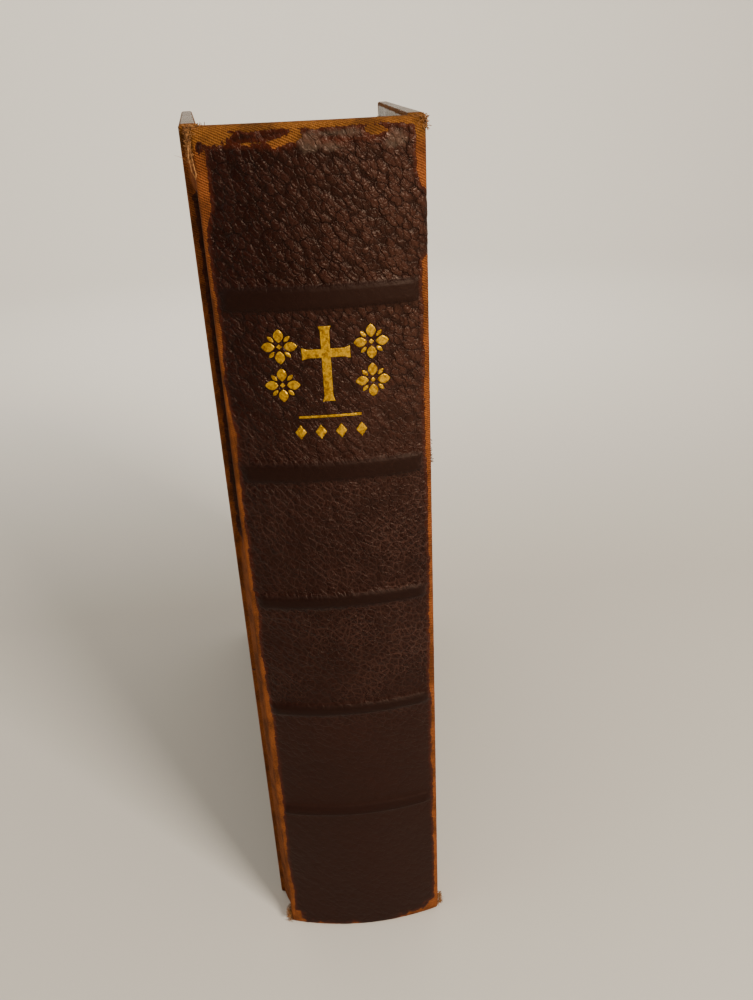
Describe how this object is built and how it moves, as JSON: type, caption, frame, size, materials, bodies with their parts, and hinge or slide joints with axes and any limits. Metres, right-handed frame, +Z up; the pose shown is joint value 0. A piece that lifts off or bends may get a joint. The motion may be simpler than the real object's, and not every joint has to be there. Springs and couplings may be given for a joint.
{
  "type": "case-bound bible",
  "caption": "Thick case-bound Bible standing on its tail: rounded leathercloth spine with low raised bands, hinged covers and fanning leaves.",
  "frame": {"origin": "middle of the spine's tail fold, on the surface that the book stands on", "axes": "+Z up from tail to head, +X towards the front cover, -Y out of the spine, +Y towards the fore-edge"},
  "size_m": [0.0671, 0.1481, 0.203],
  "materials": {
    "leathercloth": "grained coating, worn to its twill at the edges",
    "greyboard": "matte",
    "manila": "matte",
    "text_paper": "matte, yellowed",
    "endpaper": "matte, toned",
    "map_paper": "calendered",
    "mull_cloth": "open weave, sized",
    "linen_tape": "woven",
    "linen_thread": "waxed thread",
    "endband_silk": "two-colour striped silk"
  },
  "bodies": {
    "text_block": {"spine_cloth": "leathercloth", "spine_inlay": "manila", "band_strip_1": "manila", "band_strip_2": "manila", "band_strip_3": "manila", "band_strip_4": "manila", "band_strip_5": "manila", "spine_lining": "manila", "mull": "mull_cloth", "sewing_tape_1": "linen_tape", "sewing_tape_2": "linen_tape", "sewing_tape_3": "linen_tape", "kettle_stitch_head": "linen_thread", "kettle_stitch_tail": "linen_thread", "head_endband": "endband_silk", "tail_endband": "endband_silk", "section_01": "text_paper", "section_02": "text_paper", "section_03": "text_paper", "section_04": "text_paper", "section_05": "text_paper", "section_06": "text_paper", "section_07": "text_paper", "section_08": "text_paper", "section_09": "text_paper", "section_10": "text_paper", "section_11": "text_paper"},
    "front_cover": {"front_cover_cloth": "leathercloth", "front_board": "greyboard", "front_mull_flange": "mull_cloth", "front_pastedown": "endpaper"},
    "back_cover": {"back_cover_cloth": "leathercloth", "back_board": "greyboard", "back_mull_flange": "mull_cloth", "back_pastedown": "endpaper"},
    "front_leaf_1": {"front_flyleaf": "endpaper"},
    "front_leaf_2": {"half_title_leaf": "text_paper"},
    "front_leaf_3": {"title_leaf": "text_paper"},
    "front_leaf_4": {"contents_leaf": "text_paper"},
    "front_leaf_5": {"first_text_leaf": "text_paper"},
    "back_leaf_1": {"back_flyleaf": "endpaper"},
    "back_leaf_2": {"map_leaf_4": "map_paper"},
    "back_leaf_3": {"map_leaf_3": "map_paper"},
    "back_leaf_4": {"map_leaf_2": "map_paper"},
    "back_leaf_5": {"map_leaf_1": "map_paper"}
  },
  "joints": [
    {"name": "front_cover_hinge", "type": "hinge", "parent": "text_block", "child": "front_cover", "pos_m": [0.019, 0.00654, 0.1015], "axis": [0, 0, -1], "range_deg": [-2, 128]},
    {"name": "back_cover_hinge", "type": "hinge", "parent": "text_block", "child": "back_cover", "pos_m": [-0.019, 0.00654, 0.1015], "axis": [0, 0, 1], "range_deg": [-7.4, 122.6]},
    {"name": "front_leaf_1_turn", "type": "hinge", "parent": "text_block", "child": "front_leaf_1", "pos_m": [0.0178, 0.00619, 0.1015], "axis": [0, 0, -1], "range_deg": [-1.6, 98]},
    {"name": "front_leaf_2_turn", "type": "hinge", "parent": "text_block", "child": "front_leaf_2", "pos_m": [0.0172, 0.00602, 0.1015], "axis": [0, 0, -1], "range_deg": [-1.3, 77.5]},
    {"name": "front_leaf_3_turn", "type": "hinge", "parent": "text_block", "child": "front_leaf_3", "pos_m": [0.0166, 0.00586, 0.1015], "axis": [0, 0, -1], "range_deg": [-1, 58]},
    {"name": "front_leaf_4_turn", "type": "hinge", "parent": "text_block", "child": "front_leaf_4", "pos_m": [0.016, 0.0057, 0.1015], "axis": [0, 0, -1], "range_deg": [-0.7, 39]},
    {"name": "front_leaf_5_turn", "type": "hinge", "parent": "text_block", "child": "front_leaf_5", "pos_m": [0.0154, 0.00555, 0.1015], "axis": [0, 0, -1], "range_deg": [-0.4, 19.5]},
    {"name": "back_leaf_1_turn", "type": "hinge", "parent": "text_block", "child": "back_leaf_1", "pos_m": [-0.0178, 0.00619, 0.1015], "axis": [0, 0, 1], "range_deg": [-5.7, 94]},
    {"name": "back_leaf_2_turn", "type": "hinge", "parent": "text_block", "child": "back_leaf_2", "pos_m": [-0.0172, 0.00602, 0.1015], "axis": [0, 0, 1], "range_deg": [-4.5, 74]},
    {"name": "back_leaf_3_turn", "type": "hinge", "parent": "text_block", "child": "back_leaf_3", "pos_m": [-0.0166, 0.00586, 0.1015], "axis": [0, 0, 1], "range_deg": [-3.4, 55.6]},
    {"name": "back_leaf_4_turn", "type": "hinge", "parent": "text_block", "child": "back_leaf_4", "pos_m": [-0.016, 0.0057, 0.1015], "axis": [0, 0, 1], "range_deg": [-2.3, 37.2]},
    {"name": "back_leaf_5_turn", "type": "hinge", "parent": "text_block", "child": "back_leaf_5", "pos_m": [-0.0154, 0.00555, 0.1015], "axis": [0, 0, 1], "range_deg": [-1.2, 18.7]}
  ],
  "couplings": [
    {"joint": "front_leaf_1_turn", "follows": "front_cover_hinge", "ratio": 0.76},
    {"joint": "front_leaf_2_turn", "follows": "front_cover_hinge", "ratio": 0.6},
    {"joint": "front_leaf_3_turn", "follows": "front_cover_hinge", "ratio": 0.45},
    {"joint": "front_leaf_4_turn", "follows": "front_cover_hinge", "ratio": 0.3},
    {"joint": "front_leaf_5_turn", "follows": "front_cover_hinge", "ratio": 0.15},
    {"joint": "back_leaf_1_turn", "follows": "back_cover_hinge", "ratio": 0.76},
    {"joint": "back_leaf_2_turn", "follows": "back_cover_hinge", "ratio": 0.6},
    {"joint": "back_leaf_3_turn", "follows": "back_cover_hinge", "ratio": 0.45},
    {"joint": "back_leaf_4_turn", "follows": "back_cover_hinge", "ratio": 0.3},
    {"joint": "back_leaf_5_turn", "follows": "back_cover_hinge", "ratio": 0.15}
  ]
}
